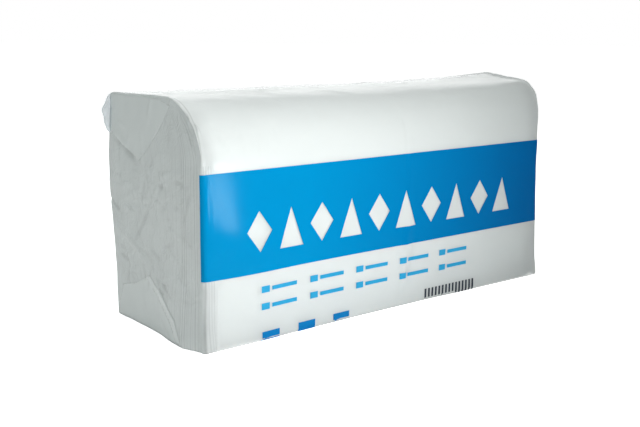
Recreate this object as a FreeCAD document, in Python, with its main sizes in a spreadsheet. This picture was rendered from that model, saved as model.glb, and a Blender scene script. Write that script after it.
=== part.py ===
"""A pack of folded paper napkins in clear printed film, standing on its long narrow side.

Own frame, in millimetres: +X runs along the napkins' length, the printed front faces -Y,
+Z is up, and the origin is at the middle of the underside.
"""
import FreeCAD
import Part
import math
import os

import Sketcher

# Driving sizes in millimetres, or counts: alias, value, meaning
SIZES = [
    ("napkin_length", 164.8, "folded napkin, long edge"),
    ("napkin_width", 80.5, "folded napkin, fold to open edge"),
    ("napkin_pitch", 1.17, "thickness of one folded napkin in the stack"),
    ("napkin_count", 50, "napkins in the pack"),
    ("air_gap", 0.06, "air between two napkins"),
    ("leaf_slit", 0.10, "slit between the two leaves of a napkin"),
    ("fold_wall", 0.60, "paper round the fold, above the slit"),
    ("film_wall", 0.25, "film, drawn thicker than life"),
    ("end_gap", 0.50, "air between napkin ends and film"),
    ("head_gap", 1.00, "air between napkin folds and film"),
    ("shoulder_radius", 20.0, "rounding of the top front edge"),
    ("front_corner", 3.0, "rounding of the upright front corners"),
    ("back_corner", 1.6, "rounding of the upright back corners"),
    ("back_edge", 1.6, "rounding of the top back edge"),
    ("flap_rise", 19.5, "height of the lower end flap"),
    ("flap_drop", 22.5, "depth of the upper end flap"),
    ("flap_lean", 5.0, "how far the flap points lie behind the middle"),
    ("flap_margin", 1.5, "flap edge to the side of the pack"),
    ("seam_width", 12.0, "overlap of the film along the back"),
    ("seam_height", 14.0, "lower edge of the back seam above the floor"),
    ("ear_reach", 3.2, "how far a loose film corner stands out"),
    ("ear_height", 13.0, "height of a loose film corner"),
    ("ink", 0.10, "print, drawn thicker than life"),
    ("band_low", 24.0, "underside of the blue band"),
    ("band_high", 58.7, "upper side of the blue band"),
    ("motif_width", 10.4, "width of one shape in the band"),
    ("motif_height", 14.0, "height of one shape in the band"),
    ("motif_pitch", 13.6, "spacing of the shapes in the band"),
    ("motif_count", 10, "shapes in the band"),
    ("motif_level", 38.0, "middle of the shapes above the floor"),
    ("mark_width", 3.4, "width of the bold mark before a pale bar"),
    ("mark_height", 2.3, "height of that mark"),
    ("bar_width", 11.0, "width of one pale bar"),
    ("bar_height", 1.4, "height of one pale bar"),
    ("bar_gap", 1.1, "gap between a mark and its bar"),
    ("bar_pitch", 21.6, "spacing of the pale bars"),
    ("bar_count", 5, "pale bars in a row"),
    ("upper_row", 18.0, "middle of the upper row of bars above the floor"),
    ("lower_row", 12.0, "middle of the lower row of bars above the floor"),
    ("field_width", 7.6, "width of one blue field at the bottom edge"),
    ("field_height", 3.2, "height of the blue fields"),
    ("field_pitch", 16.2, "spacing of the blue fields"),
    ("field_count", 3, "blue fields"),
    ("stripe_width", 0.9, "width of one dark stripe"),
    ("stripe_height", 4.6, "height of the dark stripes"),
    ("stripe_pitch", 1.9, "spacing of the dark stripes"),
    ("stripe_count", 15, "dark stripes"),
    ("print_margin", 22.0, "left edge of the pack to the first bar"),
    ("stripe_margin", 101.0, "left edge of the pack to the first stripe"),
]

# Turn between two points of a sheet's bend
BEND_STEP = math.radians(10.0)

doc = FreeCAD.newDocument("NapkinPack")


def make_sheet():
    """Fill the spreadsheet with the driving sizes, one alias each."""
    table = doc.addObject("Spreadsheet::Sheet", "Sizes")
    for row, (alias, value, meaning) in enumerate(SIZES, start=1):
        table.set(f"A{row}", str(value))
        table.setAlias(f"A{row}", alias)
        table.set(f"B{row}", meaning)
    doc.recompute()
    return table


sheet = make_sheet()


def value_of(text):
    """Number that an expression on the sheet gives now."""
    return float(sheet.evalExpression(text))


def named(text):
    """An expression in which every word that is an alias points at the sheet."""
    aliases = {alias for alias, _, _ in SIZES}
    words = text.replace("(", "( ").replace(")", " )").split()
    return " ".join(f"Sizes.{word}" if word in aliases else word for word in words)


# Sizes that follow from the driving ones
CAVITY_DEPTH = named("( napkin_count * napkin_pitch )")
CAVITY_LENGTH = named("( napkin_length + 2 * end_gap )")
CAVITY_HEIGHT = named("( napkin_width + head_gap )")
WALL = named("film_wall")
INK = named("ink")
HALF_DEPTH = f"( {CAVITY_DEPTH} / 2 )"
HALF_LENGTH = f"( {CAVITY_LENGTH} / 2 )"
FRONT = f"( 0 - {HALF_DEPTH} - {WALL} )"
TOP = f"( {CAVITY_HEIGHT} + 2 * {WALL} )"

# Turns a sketch drawn as (across, up) so that across is +Y and its normal is +X
SECTION = FreeCAD.Rotation(FreeCAD.Vector(1, 1, 1), 120)
# Turns a sketch drawn as (along, up) so that along is +X and its normal is -Y
FRONT_VIEW = FreeCAD.Rotation(FreeCAD.Vector(1, 0, 0), 90)
PLAN = FreeCAD.Rotation()


def rounded_sketch(name, turn, left, right, low, high, radii):
    """Sketch a rectangle with rounded corners, each side and radius held by an expression.

    The radii start at the lower left corner and go anticlockwise. A radius of None leaves
    that corner sharp.
    """
    sketch = doc.addObject("Sketcher::SketchObject", name)
    sketch.Placement = FreeCAD.Placement(FreeCAD.Vector(), turn)
    x_low, x_high, y_low, y_high = (value_of(text) for text in (left, right, low, high))
    corners = [(x_low, y_low), (x_high, y_low), (x_high, y_high), (x_low, y_high)]
    steps = [(1, 0), (0, 1), (-1, 0), (0, -1)]
    trims = [0.0 if radius is None else value_of(radius) for radius in radii]
    for side, ((x, y), (dx, dy)) in enumerate(zip(corners, steps)):
        following = (side + 1) % 4
        x_next, y_next = corners[following]
        start = FreeCAD.Vector(x + dx * trims[side], y + dy * trims[side], 0)
        stop = FreeCAD.Vector(x_next - dx * trims[following], y_next - dy * trims[following], 0)
        sketch.addGeometry(Part.LineSegment(start, stop), False)
        sketch.addConstraint(Sketcher.Constraint("Vertical" if dx == 0 else "Horizontal", side))
    for side, (axis, text) in enumerate([("Y", low), ("X", right), ("Y", high), ("X", left)]):
        index = sketch.addConstraint(
            Sketcher.Constraint(f"Distance{axis}", -1, 1, side, 1, value_of(text)))
        sketch.setExpression(f"Constraints[{index}]", text)
    for corner, radius in enumerate(radii):
        before = (corner - 1) % 4
        if radius is None:
            sketch.addConstraint(Sketcher.Constraint("Coincident", before, 2, corner, 1))
            continue
        x, y = corners[corner]
        dx, dy = steps[corner]
        back_x, back_y = steps[before]
        trim = trims[corner]
        centre = FreeCAD.Vector(x + (dx - back_x) * trim, y + (dy - back_y) * trim, 0)
        first = math.pi + corner * math.pi / 2
        ring = Part.Circle(centre, FreeCAD.Vector(0, 0, 1), trim)
        arc = sketch.addGeometry(Part.ArcOfCircle(ring, first, first + math.pi / 2), False)
        sketch.addConstraint(Sketcher.Constraint("Tangent", before, 2, arc, 1))
        sketch.addConstraint(Sketcher.Constraint("Tangent", arc, 2, corner, 1))
        index = sketch.addConstraint(Sketcher.Constraint("Radius", arc, trim))
        sketch.setExpression(f"Constraints[{index}]", radius)
    return sketch


def polygon_sketch(name, turn, points):
    """Sketch a polygon whose corners are pairs of expressions."""
    sketch = doc.addObject("Sketcher::SketchObject", name)
    sketch.Placement = FreeCAD.Placement(FreeCAD.Vector(), turn)
    places = [FreeCAD.Vector(value_of(x), value_of(y), 0) for x, y in points]
    for side, start in enumerate(places):
        sketch.addGeometry(Part.LineSegment(start, places[(side + 1) % len(places)]), False)
    for side, (x, y) in enumerate(points):
        sketch.addConstraint(Sketcher.Constraint("Coincident", side - 1 if side else
                                                 len(points) - 1, 2, side, 1))
        for axis, text in (("X", x), ("Y", y)):
            index = sketch.addConstraint(
                Sketcher.Constraint(f"Distance{axis}", -1, 1, side, 1, value_of(text)))
            sketch.setExpression(f"Constraints[{index}]", text)
    return sketch


def extruded(name, profile, reach, start):
    """Extrude a sketch along its normal by one expression, starting at another."""
    solid = doc.addObject("Part::Extrusion", name)
    solid.Base = profile
    normal = profile.Placement.Rotation.multVec(FreeCAD.Vector(0, 0, 1))
    solid.DirMode = "Custom"
    solid.Dir = normal
    solid.Solid = True
    solid.setExpression("LengthFwd", reach)
    for axis, share in zip("xyz", normal):
        if abs(share) > 0.5:
            sign = "" if share > 0 else "0 - "
            solid.setExpression(f"Placement.Base.{axis}", f"{sign}( {start} )")
    return solid


def joined(kind, name, *pieces):
    """Fuse or intersect several pieces."""
    result = doc.addObject(f"Part::{kind}", name)
    result.Shapes = list(pieces)
    return result


def cut(name, base, tool):
    """Cut one piece out of another."""
    result = doc.addObject("Part::Cut", name)
    result.Base = base
    result.Tool = tool
    return result


def pack_form(name, grow):
    """The pack's rounded block, grown outwards from its hollow by an expression."""
    section = rounded_sketch(
        f"{name}_section", SECTION,
        f"0 - {HALF_DEPTH} - {grow}", f"{HALF_DEPTH} + {grow}",
        f"{WALL} - {grow}", f"{WALL} + {CAVITY_HEIGHT} + {grow}",
        [None, None, f"{named('back_edge')} - {WALL} + {grow}",
         f"{named('shoulder_radius')} - {WALL} + {grow}"])
    plan = rounded_sketch(
        f"{name}_plan", PLAN,
        f"0 - {HALF_LENGTH} - {grow}", f"{HALF_LENGTH} + {grow}",
        f"0 - {HALF_DEPTH} - {grow}", f"{HALF_DEPTH} + {grow}",
        [f"{named('front_corner')} - {WALL} + {grow}", f"{named('front_corner')} - {WALL} + {grow}",
         f"{named('back_corner')} - {WALL} + {grow}", f"{named('back_corner')} - {WALL} + {grow}"])
    along = extruded(f"{name}_along", section, f"{CAVITY_LENGTH} + 2 * {grow}",
                     f"0 - {HALF_LENGTH} - {grow}")
    upward = extruded(f"{name}_upward", plan, f"{CAVITY_HEIGHT} + 2 * {grow}", f"{WALL} - {grow}")
    return joined("MultiCommon", f"{name}_block", along, upward)


def end_layer(name, side, points, layers):
    """A folded film layer lying on one end: side is -1 for the left end and 1 for the right."""
    profile = polygon_sketch(f"{name}_outline", SECTION, points)
    start = f"{HALF_LENGTH}" if side > 0 else f"0 - {HALF_LENGTH} - {1 + layers} * {WALL}"
    return extruded(name, profile, f"{1 + layers} * {WALL}", start)


def end_folds(side, word):
    """Folds that close one end: the front side tucked in, then the upper and lower flaps."""
    margin = named("flap_margin")
    lean = named("flap_lean")
    rise = named("flap_rise")
    drop = named("flap_drop")
    shoulder = named("shoulder_radius")
    corner = named("front_corner")
    near = f"0 - {HALF_DEPTH} + {corner}"
    far = f"{HALF_DEPTH} - {named('back_corner')}"
    tuck = [(near, margin), (f"{lean} - 2 * {margin}", margin),
            (f"{lean} + 2 * {margin}", f"{TOP} / 2"),
            (f"{lean} - 2 * {margin}", f"{TOP} - 2 * {margin}"),
            (f"{near} + {shoulder} / 3", f"{TOP} - {shoulder} / 4"),
            (near, f"{TOP} - {shoulder} / 2")]
    lower = [(near, WALL), (far, WALL), (f"{far} - 2 * {margin}", f"{rise} * 0.62"),
             (f"( {lean} + {far} ) / 2", f"{rise} * 0.8"),
             (lean, rise), (f"{near} + 3 * {margin}", f"{rise} * 0.4")]
    upper = [(f"{near} + {shoulder} / 3", f"{TOP} - 2 * {margin}"),
             (f"{lean} + 2 * {margin}", f"{TOP} - {drop}"),
             (far, f"{TOP} - 2 * {margin}")]
    return [end_layer(f"{word}_tuck", side, tuck, 1),
            end_layer(f"{word}_lower_flap", side, lower, 2),
            end_layer(f"{word}_upper_flap", side, upper, 2)]


def film_ear(name, side, across, level):
    """A loose corner of film: a thin fin that stands out from one end."""
    reach = named("ear_reach")
    tall = named("ear_height")
    root = f"( {HALF_LENGTH} )"
    tip = f"( {HALF_LENGTH} + {WALL} + {reach} )"
    sign = "" if side > 0 else "0 - "
    points = [(f"{sign}{root}", f"{level} - {tall}"), (f"{sign}{root}", level),
              (f"{sign}{tip}", f"{level} - {tall} * 0.2")]
    if side > 0:
        points.reverse()
    profile = polygon_sketch(f"{name}_outline", FRONT_VIEW, points)
    return extruded(name, profile, WALL, f"0 - ( {across} )")


def make_film():
    """The clear wrapper: a closed thin shell with folded ends, a back seam and loose corners."""
    shell = cut("film_shell", pack_form("film_outside", WALL), pack_form("film_inside", "0"))
    folds = end_folds(-1, "left") + end_folds(1, "right")
    seam = doc.addObject("Part::Box", "back_seam")
    seam.setExpression("Length", f"{CAVITY_LENGTH} - 2 * {named('back_corner')}")
    seam.setExpression("Width", f"2 * {WALL}")
    seam.setExpression("Height", named("seam_width"))
    seam.setExpression("Placement.Base.x", f"{named('back_corner')} - {HALF_LENGTH}")
    seam.setExpression("Placement.Base.y", HALF_DEPTH)
    seam.setExpression("Placement.Base.z", named("seam_height"))
    inset = named("back_corner")
    ears = [
        film_ear("left_ear", -1, f"{HALF_DEPTH} - {inset}", f"{TOP} - {named('back_edge')}"),
        film_ear("right_ear", 1, f"0 - {HALF_DEPTH} + {named('shoulder_radius')} / 2",
                 f"{TOP} - {named('shoulder_radius')} / 5"),
    ]
    film = joined("MultiFuse", "film_wrap", shell, seam, *folds, *ears)
    film.Refine = False
    return film


def print_skin(name, pieces):
    """Ink on the film's front: the given blocks cut down to a thin skin on the rounded front."""
    skin = cut(f"{name}_skin", pack_form(f"{name}_outside", f"( {WALL} + {INK} )"),
               pack_form(f"{name}_inside", WALL))
    block = pieces[0] if len(pieces) == 1 else joined("MultiFuse", f"{name}_blocks", *pieces)
    return joined("MultiCommon", name, skin, block)


def front_block(name, left, width, low, height, depth):
    """A block that stands across the front wall, between its outer face and a given depth."""
    block = doc.addObject("Part::Box", name)
    block.setExpression("Length", width)
    block.setExpression("Width", f"{depth} + {INK}")
    block.setExpression("Height", height)
    block.setExpression("Placement.Base.x", left)
    block.setExpression("Placement.Base.y", f"{FRONT} - {INK}")
    block.setExpression("Placement.Base.z", low)
    return block


def make_band():
    """The blue band round the front, with a row of plain shapes left clear in it."""
    ends = f"( {HALF_LENGTH} + {WALL} + {INK} )"
    field = front_block("band_field", f"0 - {ends}", f"2 * {ends}", named("band_low"),
                        named("( band_high - band_low )"), named("front_corner * 0.4"))
    band = print_skin("band_whole", [field])
    shapes = []
    wide = named("motif_width")
    tall = named("motif_height")
    level = named("motif_level")
    for number in range(int(value_of("Sizes.motif_count"))):
        middle = f"( {number} - ( {named('motif_count')} - 1 ) / 2 ) * {named('motif_pitch')}"
        left = f"{middle} - {wide} / 2"
        right = f"{middle} + {wide} / 2"
        low = f"{level} - {tall} / 2"
        high = f"{level} + {tall} / 2"
        if number % 2:
            points = [(left, low), (right, low), (middle, high)]
        else:
            points = [(middle, low), (right, level), (middle, high), (left, level)]
        outline = polygon_sketch(f"motif_outline_{number + 1}", FRONT_VIEW, points)
        shapes.append(extruded(f"motif_{number + 1}", outline, f"4 * {WALL}",
                               f"0 - ( {FRONT} + {WALL} )"))
    return cut("print_band", band, joined("MultiFuse", "motifs", *shapes))


def print_row(name, left, low, wide, tall, spacing, number):
    """A row of equal printed bars on the flat of the front."""
    bars = []
    for step in range(number):
        bars.append(front_block(f"{name}_{step + 1}", f"{left} + {step} * {spacing} - {HALF_LENGTH}",
                                wide, low, tall, "0"))
    return bars


def make_bars():
    """Two rows of blue bars under the band, each with a bolder mark before it."""
    bars = []
    count = int(value_of("Sizes.bar_count"))
    margin = named("print_margin")
    beside = f"{margin} + {named('mark_width')} + {named('bar_gap')}"
    for row in ("upper_row", "lower_row"):
        for kind, left in (("mark", margin), ("bar", beside)):
            tall = named(f"{kind}_height")
            low = f"{named(row)} - {tall} / 2"
            bars += print_row(f"{row}_{kind}", left, low, named(f"{kind}_width"), tall,
                              named("bar_pitch"), count)
    return joined("MultiFuse", "print_bars", *bars)


def make_fields():
    """Blue fields cut off by the bottom edge."""
    bars = print_row("field", named("print_margin"), "0", named("field_width"),
                     named("field_height"), named("field_pitch"),
                     int(value_of("Sizes.field_count")))
    return joined("MultiFuse", "print_fields", *bars)


def make_stripes():
    """Plain dark stripes, all alike, cut off by the bottom edge."""
    bars = print_row("stripe", named("stripe_margin"), "0", named("stripe_width"),
                     named("stripe_height"), named("stripe_pitch"),
                     int(value_of("Sizes.stripe_count")))
    return joined("MultiFuse", "print_stripes", *bars)


def lean_curve(share, shift):
    """The bend of one sheet's upper end, as an ellipse that starts upright at the shoulder.

    share is 1 at the front of the stack and 0 at its back, where the sheet stands straight.
    """
    shoulder = value_of("Sizes.shoulder_radius - Sizes.film_wall")
    start_height = value_of(f"{WALL} + {CAVITY_HEIGHT}") - shoulder
    across = max(share, 1e-3) * shoulder
    centre = FreeCAD.Vector(shift + across, start_height, 0)
    return centre, across, shoulder


def bend_turn(share, length):
    """Turn of the ellipse at which a sheet's bend has used up the given length."""
    _, across, tall = lean_curve(share, 0.0)
    used = 0.0
    turn = 0.0
    step = math.radians(1.0)
    while used < length:
        middle = turn + step / 2
        speed = math.hypot(across * math.sin(middle), tall * math.cos(middle))
        used += step * speed
        turn += step
    return turn - (used - length) / speed


def place_on(share, shift, turn):
    """Point on a sheet's bend."""
    centre, across, tall = lean_curve(share, shift)
    return centre + FreeCAD.Vector(-across * math.cos(turn), tall * math.sin(turn), 0)


def bend_points(share, shift, turn):
    """Points up a sheet's bend, at turns that all the sheets share, then at its own last turn."""
    turns = [BEND_STEP * step for step in range(int(turn / BEND_STEP - 0.05) + 1)]
    return [place_on(share, shift, each) for each in turns + [turn]]


def run_of(points):
    """Straight edges from point to point."""
    return [Part.LineSegment(first, second).toShape() for first, second in zip(points, points[1:])]


class NapkinSides:
    """Where one napkin lies in the stack: its near, middle and far sides and their bends."""

    def __init__(self, number):
        total = int(value_of("Sizes.napkin_count"))
        pitch = value_of("Sizes.napkin_pitch")
        air = value_of("Sizes.air_gap") / 2
        stack_front = -total * pitch / 2
        self.near_shift = stack_front + number * pitch + air
        self.far_shift = stack_front + (number + 1) * pitch - air
        self.middle_shift = (self.near_shift + self.far_shift) / 2
        self.near_share = 1 - number / total
        self.far_share = 1 - (number + 1) / total
        self.middle_share = (self.near_share + self.far_share) / 2
        self.floor = value_of(WALL)
        upright = lean_curve(0.0, 0.0)[0].y - self.floor
        self.bent_length = value_of("Sizes.napkin_width") - upright
        fold = (self.far_shift - self.near_shift) / 2
        self.turn = bend_turn(self.middle_share, self.bent_length - fold)
        self.slit_turn = bend_turn(self.middle_share,
                                   self.bent_length - fold - value_of("Sizes.fold_wall"))

    def fold_ends(self):
        """Near and far ends of the fold, square to the sheet, and the fold's crest."""
        step = math.radians(0.5)
        ahead = place_on(self.middle_share, self.middle_shift, self.turn + step)
        behind = place_on(self.middle_share, self.middle_shift, self.turn - step)
        along = ahead - behind
        speed = along.Length / (2 * step)
        along.normalize()
        width = (place_on(self.far_share, self.far_shift, self.turn)
                 - place_on(self.near_share, self.near_shift, self.turn)).Length
        skew = width * along.x / (2 * speed)
        near = place_on(self.near_share, self.near_shift, self.turn + skew)
        far = place_on(self.far_share, self.far_shift, self.turn - skew)
        crest = (near + far) / 2 + along * ((far - near).Length / 2)
        return near, far, crest, skew


def napkin_section(number):
    """Section of one folded napkin: two leaves side by side, joined by the fold at the top."""
    sides = NapkinSides(number)
    half_slit = value_of("Sizes.leaf_slit") / 2
    near_slit = sides.middle_shift - half_slit
    far_slit = sides.middle_shift + half_slit
    near_top, far_top, crest, skew = sides.fold_ends()
    near_side = bend_points(sides.near_share, sides.near_shift, sides.turn + skew)
    far_side = bend_points(sides.far_share, sides.far_shift, sides.turn - skew)
    near_inner = bend_points(sides.middle_share, near_slit, sides.slit_turn)
    far_inner = bend_points(sides.middle_share, far_slit, sides.slit_turn)
    foot = [FreeCAD.Vector(x, sides.floor, 0) for x in
            (sides.near_shift, near_slit, far_slit, sides.far_shift)]
    edges = run_of([foot[0]] + near_side)
    edges.append(Part.Arc(near_top, crest, far_top).toShape())
    edges += run_of(far_side[::-1] + [foot[3], foot[2]] + far_inner)
    edges += run_of([far_inner[-1]] + near_inner[::-1] + [foot[1], foot[0]])
    return Part.Face(Part.Wire(edges))


def corner_inset(number):
    """How far a napkin's ends stand back so that they clear the pack's rounded corners."""
    sides = NapkinSides(number)
    half_depth = value_of(HALF_DEPTH)
    _, far_top, _, _ = sides.fold_ends()
    insets = []
    for alias, depth in (("front_corner", half_depth + sides.near_shift),
                         ("back_corner", half_depth - far_top.x)):
        radius = value_of(f"Sizes.{alias} - Sizes.film_wall")
        missing = max(radius - max(depth, 0.0), 0.0)
        insets.append(radius - math.sqrt(radius ** 2 - missing ** 2))
    return max(max(insets) - value_of("Sizes.end_gap"), 0.0)


def make_napkin(number):
    """One folded napkin, extruded along its length from its section."""
    section = doc.addObject("Part::Feature", f"napkin_section_{number + 1:02d}")
    section.Shape = napkin_section(number)
    section.Placement = FreeCAD.Placement(FreeCAD.Vector(), SECTION)
    inset = corner_inset(number)
    return extruded(f"napkin_{number + 1:02d}", section,
                    f"{named('napkin_length')} - 2 * {inset}",
                    f"{inset} - {named('napkin_length')} / 2")


def check_document():
    """Stop if any feature failed to compute."""
    for piece in doc.Objects:
        if "Invalid" in piece.State or "Error" in piece.State:
            raise RuntimeError(f"{piece.Name} failed: {piece.State}")


def write_steps(nodes):
    """Write each node's shape to its own STEP file."""
    os.makedirs("parts", exist_ok=True)
    for node in nodes:
        shape = node.Shape
        if shape.isNull() or not shape.isValid() or not shape.Solids:
            raise RuntimeError(f"{node.Label} has no valid solid")
        shape.exportStep(os.path.join("parts", f"{node.Label}.step"))
        box = shape.BoundBox
        print(f"{node.Label}: {len(shape.Solids)} solid, {shape.Volume:.1f} mm3, "
              f"x {box.XMin:.2f} to {box.XMax:.2f}, y {box.YMin:.2f} to {box.YMax:.2f}, "
              f"z {box.ZMin:.2f} to {box.ZMax:.2f}")


def main():
    """Build every piece, check the document and write the files."""
    nodes = [make_napkin(number) for number in range(int(value_of("Sizes.napkin_count")))]
    nodes += [make_film(), make_band(), make_bars(), make_fields(), make_stripes()]
    doc.recompute()
    check_document()
    write_steps(nodes)


main()
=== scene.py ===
"""Looks for a pack of folded paper napkins in clear printed film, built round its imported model.

Metres throughout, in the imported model's own frame: +X along the napkins, the printed front
faces -Y, +Z up, and the origin at the middle of the underside. Creases and puffs of the film are
worked out in millimetres.
"""

import logging
import math
from collections.abc import Iterator, Sequence
from contextlib import contextmanager
from dataclasses import dataclass, field
from enum import Enum

import bmesh
import bpy
import numpy as np
from mathutils import Matrix, Vector, noise
from mathutils.bvhtree import BVHTree


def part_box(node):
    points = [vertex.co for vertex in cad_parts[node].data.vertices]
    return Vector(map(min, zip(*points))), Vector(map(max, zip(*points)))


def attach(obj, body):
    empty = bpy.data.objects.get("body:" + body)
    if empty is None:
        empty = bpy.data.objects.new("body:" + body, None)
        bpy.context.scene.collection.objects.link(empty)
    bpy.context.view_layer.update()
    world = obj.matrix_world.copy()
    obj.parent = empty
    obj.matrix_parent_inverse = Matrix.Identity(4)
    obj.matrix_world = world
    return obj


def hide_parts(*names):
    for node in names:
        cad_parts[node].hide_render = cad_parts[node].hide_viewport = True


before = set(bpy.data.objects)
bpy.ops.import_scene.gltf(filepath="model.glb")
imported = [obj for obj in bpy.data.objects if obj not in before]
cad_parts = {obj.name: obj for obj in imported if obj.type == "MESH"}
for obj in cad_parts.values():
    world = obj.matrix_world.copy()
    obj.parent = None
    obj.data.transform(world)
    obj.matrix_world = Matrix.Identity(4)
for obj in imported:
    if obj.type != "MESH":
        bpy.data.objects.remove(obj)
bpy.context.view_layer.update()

MM = 0.001
BODY = "root"
Pair = tuple[float, float]
Triple = tuple[float, float, float]
WHITE, BLACK = (1.0, 1.0, 1.0), (0.0, 0.0, 0.0)
log = logging.getLogger("napkin_pack")


def node_box(name: str) -> tuple[Vector, Vector]:
    """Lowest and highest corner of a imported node.

    Args:
        name: the node's name.

    Returns:
        The two corners, in metres.
    """
    low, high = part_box(name)
    return Vector(low), Vector(high)


def held(value: np.ndarray) -> np.ndarray:
    """Values held between 0 and 1."""
    return np.clip(value, 0.0, 1.0)


def ramp(value: np.ndarray, start: float, run: float) -> np.ndarray:
    """Share that grows from 0 at a start to 1 a run further on.

    Args:
        value: places.
        start: where the share leaves 0.
        run: how far it takes to reach 1; a negative run goes the other way.

    Returns:
        The share at each place.
    """
    return held((value - start) / run)


def bell(value: np.ndarray, middle: float, width: float) -> np.ndarray:
    """Bell curve: 1 in the middle and about a third one width away."""
    return np.exp(-((value - middle) / width) ** 2)


@dataclass(frozen=True)
class PackSizes:
    """Sizes of the wrapped pack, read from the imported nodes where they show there."""

    half_length: float
    front: float
    back: float
    top: float
    napkin_count: int
    napkin_half_length: float
    stack_front: float
    pitch: float
    wall: float = 0.25 * MM
    shoulder: float = 20.0 * MM
    packed_corner: float = 3.0 * MM
    left_corner: float = 1.8 * MM
    shoulder_corner: float = 0.7 * MM
    right_corner: float = 1.4 * MM
    back_corner: float = 1.6 * MM
    back_edge: float = 2.4 * MM
    foot_edge: float = 0.4 * MM
    foot_spread: float = 2.2 * MM
    crown_height: float = 3.1 * MM
    crown_run: float = 80.0 * MM
    crown_front: float = 23.0 * MM
    crown_back: float = 29.6 * MM
    crown_fill: float = 4.6 * MM

    @classmethod
    def from_frame(cls) -> "PackSizes":
        """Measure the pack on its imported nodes.

        Returns:
            The sizes, in metres.
        """
        napkins = sorted(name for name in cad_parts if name.startswith("napkin_"))
        first_front = node_box(napkins[0])[0].y
        last_front = node_box(napkins[-1])[0].y
        napkin_end = node_box(napkins[len(napkins) // 2])[1].x
        film_low, film_high = node_box("film_wrap")
        end_air, front_air, seam_layer = 0.75 * MM, 0.03 * MM, 0.25 * MM
        return cls(half_length=napkin_end + end_air, front=film_low.y,
                   back=film_high.y - seam_layer, top=film_high.z, napkin_count=len(napkins),
                   napkin_half_length=napkin_end, stack_front=first_front - front_air,
                   pitch=(last_front - first_front) / (len(napkins) - 1))


@dataclass(frozen=True)
class Crease:
    """A fold line on one face, in millimetres: a low ridge or groove that fades at its ends."""

    start: Pair
    stop: Pair
    height: float
    width: float

    def relief(self, across: np.ndarray, up: np.ndarray) -> np.ndarray:
        """Height of the ridge at places on the face.

        Args:
            across: first coordinate of each place.
            up: second coordinate of each place.

        Returns:
            One height for each place, in millimetres.
        """
        (x0, y0), (x1, y1) = self.start, self.stop
        run = math.hypot(x1 - x0, y1 - y0)
        ux, uy = (x1 - x0) / run, (y1 - y0) / run
        along = ((across - x0) * ux + (up - y0) * uy) / run
        aside = np.abs((across - x0) * uy - (up - y0) * ux)
        fade_share, end_level, overrun, sharpness = 0.25, 0.25, 0.06, 1.4
        fade = held(np.minimum(along, 1.0 - along) / fade_share + end_level)
        fade = np.where((along < -overrun) | (along > 1.0 + overrun), 0.0, fade)
        return self.height * np.exp(-(aside / self.width) ** sharpness) * fade


@dataclass(frozen=True)
class Scatter:
    """Creases at random places of one face: lowest and highest value of each of their sizes."""

    count: int
    across: Pair
    up: Pair
    reach: Pair
    slope: Pair
    height: Pair
    width: Pair
    groove_every: int = 0

    def drawn(self, draw: np.random.Generator) -> list[Crease]:
        """Draw the creases.

        Args:
            draw: the seeded generator.

        Returns:
            The creases; every one of number groove_every is turned into a groove.
        """
        creases = []
        for number in range(self.count):
            across, up, reach, slope, height, width = (
                draw.uniform(*span) for span in
                (self.across, self.up, self.reach, self.slope, self.height, self.width))
            if self.groove_every and number % self.groove_every == 0:
                height = -height
            creases.append(Crease((across, up), (across + reach, up + slope * reach),
                                  height, width))
        return creases


@dataclass(frozen=True)
class Swell:
    """A soft bulge of the film over two coordinates of a face, in millimetres."""

    height: float
    middle: Pair
    width: Pair

    def at(self, across: np.ndarray, up: np.ndarray) -> np.ndarray:
        """Height of the bulge at places on the face."""
        (x, y), (wide, high) = self.middle, self.width
        return self.height * bell(across, x, wide) * bell(up, y, high)


class FaceKind(Enum):
    """The faces of the pack that have creases of their own, and where each one looks."""

    FRONT = ("front", (0, -1, 0))
    TOP = ("top", (0, 0, 1))
    LEFT = ("left", (-1, 0, 0))
    RIGHT = ("right", (1, 0, 0))
    BACK = ("back", (0, 1, 0))

    @property
    def word(self) -> str:
        """The face's name in the names of pieces."""
        return self.value[0]

    @property
    def outward(self) -> Vector:
        """The face's outward direction."""
        return Vector(self.value[1])


ENDS = (FaceKind.LEFT, FaceKind.RIGHT)


def smooth_noise(points: np.ndarray, scale: Triple, seed: float) -> np.ndarray:
    """Soft noise at many places.

    Args:
        points: places in millimetres, one row each.
        scale: length of one wave along each axis, in millimetres.
        seed: shifts the pattern.

    Returns:
        One value from about -1 to 1 for each place.
    """
    shifted = points / np.array(scale) + seed
    return np.array([noise.noise(Vector(row)) for row in shifted])


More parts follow.
